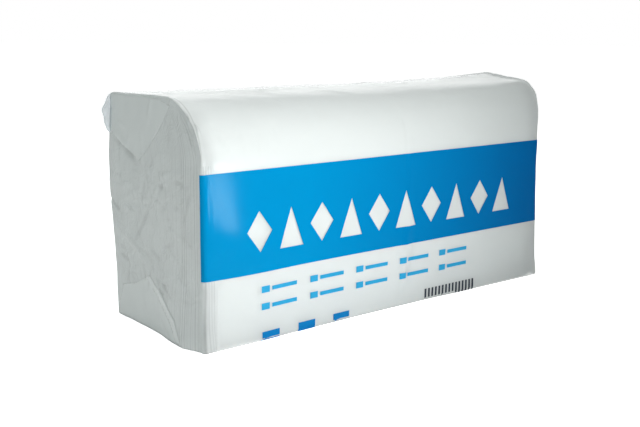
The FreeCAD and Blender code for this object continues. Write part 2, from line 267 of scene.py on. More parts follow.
@dataclass
class FilmRelief:
    """Height of the film's creases and puffs over its plain form, in millimetres."""

    sizes: PackSizes
    seed: int = 11
    rest_height: float = 0.10
    deepest: float = -0.06
    creases: dict[FaceKind, list[Crease]] = field(default_factory=dict)

    # Creases that show most: start, stop, height and width of each, in millimetres on its face
    TOP_FOLDS = (
        ((16, 26), (31, -6), -0.18, 0.9), ((31, -6), (36, -22), -0.14, 0.8),
        ((-60, 22), (-12, 12), 0.22, 1.5), ((-30, 24), (22, 15), -0.18, 1.2),
        ((-78, 10), (-40, -4), 0.22, 1.1), ((-70, 0), (-30, -12), -0.20, 1.0),
        ((40, 20), (76, 4), 0.24, 1.6), ((48, 6), (80, -8), -0.20, 1.3),
        ((-5, 22), (60, 10), 0.12, 1.4),
    )
    FRONT_FOLDS = (
        ((3, 82), (6, 73), -0.12, 0.6), ((6, 75), (6.4, 52), -0.14, 0.6),
        ((8, 66), (9, 30), 0.2, 1.4), ((9, 36), (4, 1), 0.55, 1.7),
        ((12.5, 30), (7, 5), -0.3, 1.2), ((3, 24), (7.5, 9), 0.3, 1.0),
        ((-82.7, 74.8), (-81.8, 71.2), 0.5, 0.45),
    )
    END_FOLDS = (
        ((28, 37), (4, 23), 0.42, 0.8), ((4, 19), (-22, 3), 0.30, 0.7),
        ((28, 78), (10, 58), -0.30, 1.4), ((10, 58), (-4, 68), 0.22, 1.2),
        ((12, 60), (24, 66), -0.25, 1.0), ((-6, 66), (-12, 40), 0.20, 0.8),
        ((-20, 62), (-22, 24), 0.16, 0.7), ((8, 50), (20, 44), 0.22, 0.7),
        ((2, 44), (14, 30), -0.24, 0.8), ((-4, 40), (4, 56), 0.20, 0.8),
        ((30, 44), (22, 40), -0.40, 0.6), ((-19.5, 78), (-27.6, 62.5), 0.3, 0.5),
        ((-23.5, 75.5), (-25.2, 71.5), 0.45, 0.6),
    )
    # Where the ridges over the first napkins' ends run, from the pack's end inwards
    STEP_RIDGES = (1.4, 2.3, 3.3, 4.2)
    RIDGE_HEIGHT, RIDGE_WIDTH = 0.14, 0.36
    # Bulges of the front near its left edge, and of the left end at its near foot and far edge
    FRONT_BULGE = Swell(1.3, (-66.0, 18.0), (18.0, 25.0))
    NEAR_FOOT_BULGE = Swell(2.0, (-18.0, 3.0), (14.0, 18.0))
    FAR_EDGE_BULGE = Swell(1.7, (24.0, 54.0), (11.0, 23.0))

    def __post_init__(self) -> None:
        """Lay out the creases: those that show most from the listed tables, the fine ones by a
        seeded draw.
        """
        draw = np.random.default_rng(self.seed)
        half, top, front = (size / MM for size in
                            (self.sizes.half_length, self.sizes.top, self.sizes.front))
        folds = {FaceKind.TOP: self.TOP_FOLDS, FaceKind.FRONT: self.FRONT_FOLDS,
                 FaceKind.LEFT: self.END_FOLDS, FaceKind.RIGHT: self.END_FOLDS}
        self.creases = {kind: [Crease(*row) for row in folds.get(kind, ())] for kind in FaceKind}
        for _ in range(16):
            start = -half + draw.uniform(3.0, 34.0)
            lean = draw.uniform(-3.0, 5.0)
            reach = draw.uniform(5.0, 14.0)
            level = top - draw.uniform(4.0, 15.0)
            self.creases[FaceKind.FRONT].append(
                Crease((start, level), (start + lean, level - reach),
                       draw.uniform(-0.14, 0.14), draw.uniform(0.5, 0.9)))
        wrinkles = Scatter(26, across=(-half, half), up=(front + 14, -front - 4),
                           reach=(12.0, 34.0), slope=(-0.55, -0.12), height=(-0.26, 0.3),
                           width=(0.7, 1.3))
        streaks = Scatter(44, across=(-half, 30.0), up=(-6.0, 20.0), reach=(6.0, 20.0),
                          slope=(-0.15, 0.60), height=(0.12, 0.36), width=(0.5, 1.0),
                          groove_every=3)
        near_edge = Scatter(24, across=(-26.0, -6.0), up=(14.0, 60.0), reach=(4.0, 12.0),
                            slope=(-0.1, 0.7), height=(-0.32, 0.28), width=(0.5, 0.7))
        behind = Scatter(14, across=(-half, half), up=(4, top - 4), reach=(15.0, 40.0),
                         slope=(-0.3, 0.3), height=(-0.15, 0.15), width=(0.8, 1.4))
        self.creases[FaceKind.TOP] += wrinkles.drawn(draw) + streaks.drawn(draw)
        for kind in ENDS:
            self.scatter_star(draw, kind)
            self.creases[kind] += near_edge.drawn(draw)
        self.creases[FaceKind.BACK] += behind.drawn(draw)

    def scatter_star(self, draw: np.random.Generator, kind: FaceKind) -> None:
        """Draw the short creases that run outwards from the middle of an end, where flaps meet.

        Args:
            draw: the seeded generator.
            kind: the end.
        """
        hub = (4.0, 34.0)
        for _ in range(90):
            across, level = draw.normal((3.0, 38.0), (11.0, 15.0))
            angle = math.atan2(level - hub[1], across - hub[0]) + draw.normal(0.0, 0.7)
            reach = draw.uniform(3.0, 11.0)
            stop = (across + reach * math.cos(angle), level + reach * math.sin(angle))
            self.creases[kind].append(Crease((across, level), stop, draw.uniform(-0.34, 0.36),
                                             draw.uniform(0.5, 0.8)))

    def napkin_steps(self, x: np.ndarray, y: np.ndarray, z: np.ndarray) -> np.ndarray:
        """Ridges where the film lies on the stepped left ends of the first napkins.

        Args:
            x: places along the pack, in millimetres.
            y: places across it.
            z: heights.

        Returns:
            One height for each place.
        """
        run = self.sizes.half_length / MM - np.abs(x)
        ridges = sum(bell(run, place + 0.12 * np.sin(z * 0.21 + place * 3.0), self.RIDGE_WIDTH)
                     for place in self.STEP_RIDGES)
        near = ramp(y, self.sizes.front / MM + 7.0, -1.5)
        # The printed band lies smoother over them
        band = ramp(z, 22.0, 4.0) * ramp(z, 62.0, -3.0)
        near = near * (x < 0) * (1.0 - 0.85 * band)
        return self.RIDGE_HEIGHT * ridges * near * np.maximum(ramp(z, 70.0, -20.0), 0.25)

    def creases_at(self, points: np.ndarray, normals: np.ndarray) -> np.ndarray:
        """Height of the creases alone.

        Args:
            points: places on the plain form, in metres, one row each.
            normals: outward directions there.

        Returns:
            One height for each place, in millimetres.
        """
        x, y, z = (points / MM).T
        total = np.zeros(len(x))
        for kind, creases in self.creases.items():
            across = y if kind in ENDS else x
            up = y if kind is FaceKind.TOP else z
            share = held(normals @ np.array(kind.outward) * 1.6 - 0.3)
            total += sum(crease.relief(across, up) for crease in creases) * share
        return total

    def slack(self, points: np.ndarray) -> np.ndarray:
        """How far the fluffed folds at the right end push the film.

        Args:
            points: places on the plain form, in metres, one row each.

        Returns:
            One vector for each place, in metres.
        """
        s = self.sizes
        x, y, z = points.T
        bend_start = s.top - s.shoulder
        rise = ramp(x, s.napkin_half_length - s.crown_run, s.crown_run) ** 1.5
        hump = held(1.0 - np.where(y < 0, -y / s.crown_front, y / s.crown_back))
        upper = ramp(z, bend_start, 0.9 * s.shoulder)
        sine = ramp(z, bend_start, s.shoulder)
        cosine = np.sqrt(1.0 - sine ** 2)
        front_only = ramp(-y, 0.0, 0.3 * s.shoulder)
        fill = 4.0 * sine ** 3 * cosine ** 2 * front_only * s.crown_fill
        back_sink = 0.7 * MM
        push = np.zeros_like(points)
        push[:, 1] = -rise * fill * cosine
        push[:, 2] = rise * (hump * upper * s.crown_height + fill * sine)
        push[:, 2] -= back_sink * upper * ramp(y, 0.0, s.back)
        return push

    def at(self, points: np.ndarray, normals: np.ndarray) -> np.ndarray:
        """Height of the film's relief at places on its plain form.

        Args:
            points: places, in metres, one row each.
            normals: outward directions there.

        Returns:
            Heights in metres along the normals.
        """
        place = points / MM
        x, y, z = place.T
        total = self.creases_at(points, normals)
        ends = held(np.abs(normals[:, 0]) * 1.5 - 0.3)
        upper = held(normals[:, 2] * 1.5 - 0.2)
        front = held(-normals[:, 1] * 1.5 - 0.3)
        broad = smooth_noise(place, (34.0, 26.0, 26.0), 3.1)
        fine = smooth_noise(place, (11.0, 7.0, 9.0), 7.7)
        total += broad * (0.20 + 0.05 * upper) + fine * (0.05 + 0.16 * ends + 0.10 * upper)
        foot_wave = (0.4 - 0.75 * np.cos(x * 0.034)) * bell(z, 0.0, 7.0)
        total += front * (self.FRONT_BULGE.at(x, z) + foot_wave + self.napkin_steps(x, y, z))
        # The ends swell, but not where the left one meets the stepped front corner
        left = 0.7 + self.NEAR_FOOT_BULGE.at(y, z) + self.FAR_EDGE_BULGE.at(y, z)
        right = 0.4 + 0.9 * bell(z, 82.0, 9.0)
        total += ends * np.where(x < 0, left * ramp(y, -29.0, 8.0), right)
        # The film lies a little off the napkins and never cuts into them
        return np.maximum(total + self.rest_height, self.deepest) * MM


@dataclass
class FilmForm:
    """The wrapper's plain form: a ring round the stack, carried along its length."""

    sizes: PackSizes
    relief: FilmRelief
    side_cells: int = 104
    top_cells: int = 80
    corner_places: int = 20
    fine_places: int = 13
    near_places: int = 32
    middle_places: int = 104

    def ring_corners(self) -> list[Triple]:
        """Find the ring's corners.

        Returns:
            Y, Z and radius of each, from the foot of the front upwards.
        """
        s = self.sizes
        return [(s.front, 0.0, s.foot_edge), (s.front, s.top, s.shoulder),
                (s.back, s.top, s.back_edge), (s.back, 0.0, s.foot_edge)]

    def ring_side(self, number: int, cells: int) -> np.ndarray:
        """Points along one side of the ring, from the middle of one corner to the next.

        Args:
            number: 0 front, 1 top, 2 back, 3 underside.
            cells: how many steps to take.

        Returns:
            Rows of y and z, without the side's last point.
        """
        corners = self.ring_corners()
        y0, z0, r0 = corners[number]
        y1, z1, r1 = corners[(number + 1) % 4]
        length = math.hypot(y1 - y0, z1 - z0)
        uy, uz = (y1 - y0) / length, (z1 - z0) / length
        arc0, arc1 = r0 * math.pi / 4, r1 * math.pi / 4
        straight = length - r0 - r1
        run = (arc0 + straight + arc1) * np.arange(cells) / cells
        turn0 = math.pi / 4 - np.minimum(run, arc0) / r0
        turn1 = np.maximum(run - arc0 - straight, 0.0) / r1
        along = r0 * (1.0 - np.sin(turn0)) + np.clip(run - arc0, 0.0, straight)
        along += r1 * np.sin(turn1)
        inward = r0 * (1.0 - np.cos(turn0)) + r1 * (1.0 - np.cos(turn1))
        return np.stack([y0 + uy * along + uz * inward, z0 + uz * along - uy * inward], axis=-1)

    def ring(self) -> np.ndarray:
        """Go round the whole ring.

        Returns:
            Rows of y and z.
        """
        sides = [self.ring_side(number, self.side_cells if number % 2 == 0 else self.top_cells)
                 for number in range(4)]
        return np.vstack(sides)

    def stations(self) -> np.ndarray:
        """Choose the places along X, close together at the ends and in the creased left part.

        Returns:
            The places, in metres, from left to right.
        """
        s = self.sizes
        fine_run, near_stop = 4 * MM, -40 * MM
        turn = np.linspace(0.0, math.pi / 2, self.corner_places)
        left = -s.half_length + s.left_corner - s.left_corner * np.sin(turn[::-1])
        fine = np.linspace(left[-1], left[-1] + fine_run, self.fine_places)[1:]
        near = np.linspace(fine[-1], near_stop, self.near_places)[1:]
        middle = np.linspace(near_stop, s.half_length - s.right_corner, self.middle_places)[1:]
        right = s.half_length - s.right_corner + s.right_corner * np.sin(turn[1::2])
        return np.concatenate([left, fine, near, middle, right])

    def corner_depth(self, x: np.ndarray, left: float | np.ndarray, right: float) -> np.ndarray:
        """How far the rounded upright corners draw a wall in.

        Args:
            x: places along the pack.
            left: radius at the left end, or one radius for each place on the ring.
            right: radius at the right end.

        Returns:
            The depth at each place.
        """
        radius = np.where(x < 0, left, right)
        past = np.clip(np.abs(x) - (self.sizes.half_length - radius), 0.0, radius)
        return radius - np.sqrt(np.maximum(radius ** 2 - past ** 2, 0.0))

    def loops(self, x: np.ndarray, ring: np.ndarray) -> np.ndarray:
        """The ring carried to every station, with the upright corners rounded.

        Args:
            x: the stations.
            ring: rows of y and z.

        Returns:
            Points as an array of stations by ring places by 3.
        """
        s = self.sizes
        # The left front corner is sharper beside the shoulder than below it
        crisp = ramp(ring[:, 1], 54 * MM, 8 * MM)
        left = s.left_corner + (s.shoulder_corner - s.left_corner) * crisp
        low = s.front + self.corner_depth(x[:, None], left[None, :], s.right_corner)
        high = s.back - self.corner_depth(x, s.back_corner, s.back_corner)
        y = np.clip(ring[None, :, 0], low, high[:, None])
        z = np.broadcast_to(ring[None, :, 1], y.shape)
        # The foot of the right end spreads a little
        near = ramp(x, s.half_length - 16 * MM, 16 * MM) ** 2
        spread = near[:, None] * s.foot_spread * bell(z, 4 * MM, 28 * MM)
        return np.stack([x[:, None] + spread, y, z], axis=-1)

    def end_grid(self, loop: np.ndarray) -> np.ndarray:
        """Fill in one end between the four sides of its loop.

        Args:
            loop: the end's points, one row each.

        Returns:
            A grid of points whose rim is the loop.
        """
        n, m = self.side_cells, self.top_cells
        front = loop[0:n + 1]
        top = loop[n:n + m + 1]
        back = loop[n + m:2 * n + m + 1][::-1]
        foot = np.vstack([loop[2 * n + m:], loop[:1]])[::-1]
        u = np.linspace(0, 1, m + 1)[:, None, None]
        v = np.linspace(0, 1, n + 1)[None, :, None]
        grid = ((1 - v) * foot[:, None] + v * top[:, None]
                + (1 - u) * front[None] + u * back[None]
                - (1 - u) * (1 - v) * foot[0] - u * (1 - v) * foot[-1]
                - (1 - u) * v * top[0] - u * v * top[-1])
        return grid


def linked(piece: bpy.types.Object) -> bpy.types.Object:
    """Put an object in the scene and give it back."""
    bpy.context.scene.collection.objects.link(piece)
    return piece


def new_object(name: str, points: np.ndarray, faces: list[tuple[int, ...]]) -> bpy.types.Object:
    """Make a smoothly shaded mesh object at the origin.

    Args:
        name: the piece's name.
        points: rows of x, y and z in metres.
        faces: corner numbers of each face.

    Returns:
        The new object.
    """
    mesh = bpy.data.meshes.new(name)
    mesh.from_pydata([tuple(row) for row in points], [], faces)
    mesh.update()
    mesh.shade_smooth()
    return linked(bpy.data.objects.new(name, mesh))


def tube_faces(rows: int, count: int) -> list[tuple[int, ...]]:
    """Faces between rows of points that each go round once.

    Args:
        rows: how many rows.
        count: points in each row.

    Returns:
        Corner numbers of each face.
    """
    return [(row * count + place, (row + 1) * count + place,
             (row + 1) * count + (place + 1) % count, row * count + (place + 1) % count)
            for row in range(rows - 1) for place in range(count)]


@contextmanager
def mesh_work(piece: bpy.types.Object) -> Iterator[bmesh.types.BMesh]:
    """Open a piece's mesh for changes, and write it back after them.

    Args:
        piece: the piece.

    Yields:
        The mesh to work on.
    """
    work = bmesh.new()
    work.from_mesh(piece.data)
    yield work
    work.to_mesh(piece.data)
    work.free()
    piece.data.update()


def applied(piece: bpy.types.Object) -> bpy.types.Object:
    """Turn a piece's modifiers into its own plain mesh.

    Args:
        piece: an object with live modifiers.

    Returns:
        The same object with the result as its mesh and no modifier.
    """
    graph = bpy.context.evaluated_depsgraph_get()
    mesh = bpy.data.meshes.new_from_object(piece.evaluated_get(graph), depsgraph=graph)
    piece.modifiers.clear()
    piece.data = mesh
    mesh.name = piece.name
    return piece


def face_outwards(piece: bpy.types.Object) -> None:
    """Make the faces of a closed mesh point outwards.

    Args:
        piece: the closed piece.
    """
    with mesh_work(piece) as work:
        bmesh.ops.recalc_face_normals(work, faces=work.faces)


def thickened(piece: bpy.types.Object, thickness: float, offset: float) -> bpy.types.Object:
    """Give a sheet its thickness.

    Args:
        piece: an open or closed sheet whose faces point outwards.
        thickness: in metres.
        offset: -1 grows inwards, 1 outwards.

    Returns:
        The same object as a closed wall.
    """
    wall = piece.modifiers.new("wall", "SOLIDIFY")
    wall.thickness = thickness
    wall.offset = offset
    wall.use_even_offset = False
    return applied(piece)


@dataclass(frozen=True)
class Outward:
    """Outward direction of the plain form at places on its front, its back or one of its ends."""

    sizes: PackSizes
    kind: FaceKind

    def at(self, place: Vector) -> tuple[Vector, float]:
        """Find the direction at a place.

        Args:
            place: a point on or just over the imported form.

        Returns:
            The direction, and the place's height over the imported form.
        """
        s = self.sizes
        direction = self.kind.outward
        if self.kind is not FaceKind.FRONT:
            reach = s.back if self.kind is FaceKind.BACK else s.half_length
            return direction, max(place.dot(direction) - reach, 0.0)
        radius = s.packed_corner
        past = abs(place.x) - (s.half_length - radius)
        if past <= 0:
            return direction, max(s.front - place.y, 0.0)
        across = Vector((math.copysign(past, place.x), place.y - s.front - radius, 0))
        return across.normalized(), max(across.length - radius, 0.0)


class FilmSurface:
    """The wrapper's finished skin, which prints, flaps and the seam are laid on."""

    # Where painted shade lies in the steps between the first napkins' ends, from the end inwards
    STEP_SHADE_LINES = (0.95, 1.8, 2.8, 3.7)
    # Rays that find the skin start this far outside it
    RAY_START, RAY_LENGTH = 12 * MM, 40 * MM

    def __init__(self, form: FilmForm) -> None:
        """Build the skin: the ring carried along X, with both ends filled in.

        Args:
            form: the plain form and its relief.
        """
        self.form = form
        self.sizes = form.sizes
        self.tree: BVHTree | None = None
        ring = form.ring()
        x = form.stations()
        loops = form.loops(x, ring)
        count = len(ring)
        points = list(loops.reshape(-1, 3))
        faces = tube_faces(len(x), count)
        for station, order in ((0, -1), (len(x) - 1, 1)):
            cells = self.close_end(form.end_grid(loops[station]), station * count, points)
            faces += [tuple(cell[::order]) for cell in cells.tolist()]
        self.points = np.array(points)
        self.faces = faces
        self.soften_ends()
        plain = self.normals()
        relief = form.relief.at(self.points, plain)
        self.marks = self.fold_marks(plain)
        self.points = self.points + plain * relief[:, None] + form.relief.slack(self.points)
        self.stand_on_floor()

    def close_end(self, grid: np.ndarray, first: int, points: list[np.ndarray]) -> np.ndarray:
        """Fill one end with faces that share the points of the loop round it.

        Args:
            grid: the end's points.
            first: number of the loop's first point.
            points: list that takes the new points.

        Returns:
            The four point numbers of each face.
        """
        m, n = grid.shape[0] - 1, grid.shape[1] - 1
        inner = grid[1:m, 1:n].reshape(-1, 3)
        numbers = np.zeros((m + 1, n + 1), dtype=int)
        numbers[1:m, 1:n] = (len(points) + np.arange(len(inner))).reshape(m - 1, n - 1)
        numbers[0] = first + np.arange(n + 1)
        numbers[:, n] = first + n + np.arange(m + 1)
        numbers[m, ::-1] = first + n + m + np.arange(n + 1)
        numbers[:0:-1, 0] = first + 2 * n + m + np.arange(m)
        points.extend(inner)
        return np.stack([numbers[:-1, :-1], numbers[1:, :-1], numbers[1:, 1:],
                         numbers[:-1, 1:]], axis=-1).reshape(-1, 4)

    def normals(self) -> np.ndarray:
        """Work out the outward direction at every point, from the faces round it.

        Returns:
            One direction for each point.
        """
        faces = np.array(self.faces)
        a, b, c, d = (self.points[faces[:, k]] for k in range(4))
        turned = np.cross(c - a, d - b)
        total = np.zeros_like(self.points)
        for k in range(4):
            np.add.at(total, faces[:, k], turned)
        return total / np.maximum(np.linalg.norm(total, axis=1, keepdims=True), 1e-12)

    def soften_ends(self) -> None:
        """Round the edges round the two ends, where the film is folded over."""
        s = self.sizes
        faces = np.array(self.faces)
        pairs = np.vstack([faces[:, [k, (k + 1) % 4]] for k in range(4)])
        pairs = np.unique(np.sort(pairs, axis=1), axis=0)
        degree = np.bincount(pairs.ravel(), minlength=len(self.points))[:, None]
        x, y, z = self.points.T
        near_end = ramp(np.abs(x), s.half_length - 3.5 * MM, 2.5 * MM)
        high = ramp(z, s.top - 20 * MM, 8 * MM)
        high = high * np.where(x < 0, ramp(y, s.front + 15 * MM, 8 * MM), 1.0)
        deep = ramp(y, -6 * MM, 8 * MM)
        low = ramp(z, 3 * MM, -2 * MM) * ramp(y, s.front + 4 * MM, 4 * MM)
        rounds, strength = 10, 0.5
        share = (near_end * np.maximum(np.maximum(high, deep), low))[:, None] * strength
        for _ in range(rounds):
            total = np.zeros_like(self.points)
            np.add.at(total, pairs[:, 0], self.points[pairs[:, 1]])
            np.add.at(total, pairs[:, 1], self.points[pairs[:, 0]])
            self.points = self.points + share * (total / degree - self.points)

    def stand_on_floor(self) -> None:
        """Flatten the underside on the floor."""
        self.points[:, 2] = np.maximum(self.points[:, 2], 0.0)

    def fold_marks(self, normals: np.ndarray) -> dict[str, np.ndarray]:
        """What the film's material needs to know at each point of the plain form.

        Args:
            normals: outward directions of the plain form.

        Returns:
            Values of the attributes fold (how much the film is folded there), layer (number of
            the napkin behind), step (painted shade in the napkins' steps, in crease grooves and
            along the left edge) and edge (how strongly the painted shade between napkins' edges
            shows).
        """
        s = self.sizes
        x, y, z = self.points.T
        bend_start = s.top - s.shoulder
        left = x < 0
        fold = held(np.abs(normals[:, 0]) * 2.8 - 1.7)
        rim = ramp(x, 5.6 * MM - s.half_length, -1.5 * MM) * ramp(z, bend_start + 6 * MM, -6 * MM)
        fold = np.maximum(np.maximum(fold, 0.9 * rim), 0.35 * held(normals[:, 2] * 2.0 - 0.8))
        radius = s.shoulder - s.wall
        rise = np.clip((z - bend_start) / radius, 0.0, 0.999)
        lean = radius * (1.0 - np.sqrt(1.0 - rise ** 2))
        layer = (y - s.stack_front - lean) / np.maximum(s.pitch - lean / s.napkin_count, 1e-5)
        run = (s.half_length - np.abs(x)) / MM + 0.12 * np.sin(z / MM * 0.21)
        # Painted shade in the steps between the first napkins' ends, on the front only
        steps = sum(bell(run, place, 0.30) for place in self.STEP_SHADE_LINES)
        steps = steps * held(-normals[:, 1] * 2.0 - 0.6) * (z < bend_start) * left
        # Painted shade in the grooves of the creases, stronger on the left end
        crease_shade = held(-self.form.relief.creases_at(self.points, normals) / 0.35)
        steps = steps + crease_shade * (0.25 + 0.4 * held(-normals[:, 0]))
        # Painted shade: a dark line along the left end's edge, beside the shoulder
        edge_shade_line = bell(run, 0.5, 0.28) * left * (y < -11 * MM)
        steps = steps + 0.9 * edge_shade_line * ramp(z, bend_start - 2 * MM, 4 * MM)
        # How strongly the painted shade between the napkins' edges shows, most towards the front
        edge = ramp(-y, 10 * MM, 12 * MM) * 0.5 + 0.08
        return {"fold": fold, "layer": np.clip(layer, -2.0, s.napkin_count + 2.0),
                "step": held(steps), "edge": edge}

    def piece(self, name: str) -> bpy.types.Object:
        """Make the skin a mesh object that carries the marks as attributes.

        Args:
            name: the piece's name.

        Returns:
            The new object.
        """
        skin = new_object(name, self.points, self.faces)
        for mark, values in self.marks.items():
            attribute = skin.data.attributes.new(mark, "FLOAT", "POINT")
            attribute.data.foreach_set("value", values.astype(np.float32))
        face_outwards(skin)
        self.tree = BVHTree.FromObject(skin, bpy.context.evaluated_depsgraph_get())
        return skin

    def laid(self, piece: bpy.types.Object, lift: float, outward: Outward) -> None:
        """Lay a thin piece on the skin, keeping each point's own height.

        Args:
            piece: a mesh whose points lie on or just over the plain form.
            lift: gap between the skin and the piece's underside.
            outward: gives the plain form's outward direction and a point's height over it.
        """
        for vertex in piece.data.vertices:
            normal, height = outward.at(vertex.co)
            start = vertex.co + normal * self.RAY_START
            place = self.tree.ray_cast(start, -normal, self.RAY_LENGTH)[0]
            if place is not None:
                vertex.co = place + normal * (lift + height)
        piece.data.update()


class Term:
    """A number inside a node tree, worked with like a plain number."""

    def __init__(self, tree: bpy.types.NodeTree, socket: bpy.types.NodeSocket | float) -> None:
        """Keep the tree and the socket, or a constant, that the number comes from."""
        self.tree = tree
        self.socket = socket

    def of(self, operation: str, *others: "Term | float") -> "Term":
        """Put this number and others through a Math node.

        Args:
            operation: what the node works out.
            others: the other numbers that it takes.

        Returns:
            The node's result.
        """
        inputs = dict(enumerate((self, *others)))
        node = add_node(self.tree, "ShaderNodeMath", inputs, operation=operation)
        return Term(self.tree, node.outputs["Value"])

    def __add__(self, other: "Term | float") -> "Term":
        """Sum."""
        return self.of("ADD", other)

    def __sub__(self, other: "Term | float") -> "Term":
        """Difference."""
        return self.of("SUBTRACT", other)

    def __mul__(self, other: "Term | float") -> "Term":
        """Product."""
        return self.of("MULTIPLY", other)

    def __truediv__(self, other: "Term | float") -> "Term":
        """Quotient."""
        return self.of("DIVIDE", other)

    def __rsub__(self, other: float) -> "Term":
        """Difference from a plain number."""
        return Term(self.tree, float(other)).of("SUBTRACT", self)

    def clamped(self) -> "Term":
        """The number held between 0 and 1."""
        return self.of("MAXIMUM", 0.0).of("MINIMUM", 1.0)

    def mapped(self, low: float, high: float) -> "Term":
        """The number's way from 0 to 1 made the way from low to high."""
        node = add_node(self.tree, "ShaderNodeMapRange",
                        {"Value": self, "To Min": low, "To Max": high})
        return Term(self.tree, node.outputs["Result"])


NodeInput = Term | bpy.types.NodeSocket | bpy.types.Material | float | Triple | str


def fill_inputs(node: bpy.types.Node, inputs: dict[str | int, NodeInput]) -> None:
    """Give a node's inputs their constants and links.

    Args:
        node: the node.
        inputs: what each input takes, by its name or number.
    """
    for label, value in inputs.items():
        source = value.socket if isinstance(value, Term) else value
        if isinstance(source, bpy.types.NodeSocket):
            node.id_data.links.new(source, node.inputs[label])
        else:
            node.inputs[label].default_value = source


def add_node(tree: bpy.types.NodeTree, kind: str,
             inputs: dict[str | int, NodeInput] | None = None, **settings: str) -> bpy.types.Node:
    """Add a node to a tree.

    Args:
        tree: a material's, a world's or a Geometry Nodes tree.
        kind: the node's type.
        inputs: what each input takes, by its name or number.
        settings: the node's own properties.

    Returns:
        The new node.
    """
    node = tree.nodes.new(kind)
    for label, value in settings.items():
        setattr(node, label, value)
    fill_inputs(node, inputs or {})
    return node


def colour_ramp(tree: bpy.types.NodeTree, share: NodeInput,
                stops: tuple[tuple[float, Triple], ...]) -> bpy.types.NodeSocket:
    """Blend two colours.

    Args:
        tree: the material's tree.
        share: number that picks the colour.
        stops: the number at which each colour is reached, and the colour.

    Returns:
        The socket of the blended colour.
    """
    blend = add_node(tree, "ShaderNodeValToRGB", {"Fac": share})
    for element, (place, colour) in zip(blend.color_ramp.elements, stops):
        element.position = place
        element.color = (*colour, 1.0)
    return blend.outputs["Color"]


@dataclass(frozen=True)
class Finish:
    """A finish of one plain colour; its settings go straight to the shader's own sockets."""

    name: str
    colour: Triple
    roughness: float = 0.5
    alpha: float = 1.0
    specular: float = 0.5
    bump: float = 0.0
    bump_scale: float = 900.0
    painted_shade_colour: Triple | None = None

    # Height of the grain's bumps
    GRAIN_HEIGHT = 0.3 * MM
    # The stretch along X over which the colour turns into a darker one, painted shade of the light
    # falling off towards the right end
    DEEPENS_FROM, DEEPENS_TO = -40 * MM, 83 * MM

    def shader(self) -> bpy.types.Material:
        """Build the material, its grain and its painted shade along X on Object coordinates.

        Returns:
            The material.
        """
        paint = bpy.data.materials.new(self.name)
        paint.use_nodes = True
        tree = paint.node_tree
        gloss = tree.nodes["Principled BSDF"]
        fill_inputs(gloss, {"Base Color": (*self.colour, 1.0), "Roughness": self.roughness,
                            "Alpha": self.alpha, "Specular IOR Level": self.specular})
        if self.bump > 0:
            where = add_node(tree, "ShaderNodeTexCoord").outputs["Object"]
            grain = add_node(tree, "ShaderNodeTexNoise",
                             {"Vector": where, "Scale": self.bump_scale, "Detail": 3.0})
            relief = add_node(tree, "ShaderNodeBump",
                              {"Strength": self.bump, "Distance": self.GRAIN_HEIGHT,
                               "Height": grain.outputs["Fac"]})
            fill_inputs(gloss, {"Normal": relief.outputs["Normal"]})
        # Painted shade: the colour darkens along X as the light falls off
        if self.painted_shade_colour is not None:
            where = add_node(tree, "ShaderNodeTexCoord").outputs["Object"]
            apart = add_node(tree, "ShaderNodeSeparateXYZ", {"Vector": where})
            share = add_node(tree, "ShaderNodeMapRange",
                             {"Value": apart.outputs["X"], "From Min": self.DEEPENS_FROM,
                              "From Max": self.DEEPENS_TO})
            colour = colour_ramp(tree, share.outputs["Result"],
                                 ((0.0, self.colour), (1.0, self.painted_shade_colour)))
            fill_inputs(gloss, {"Base Color": colour})
        return paint


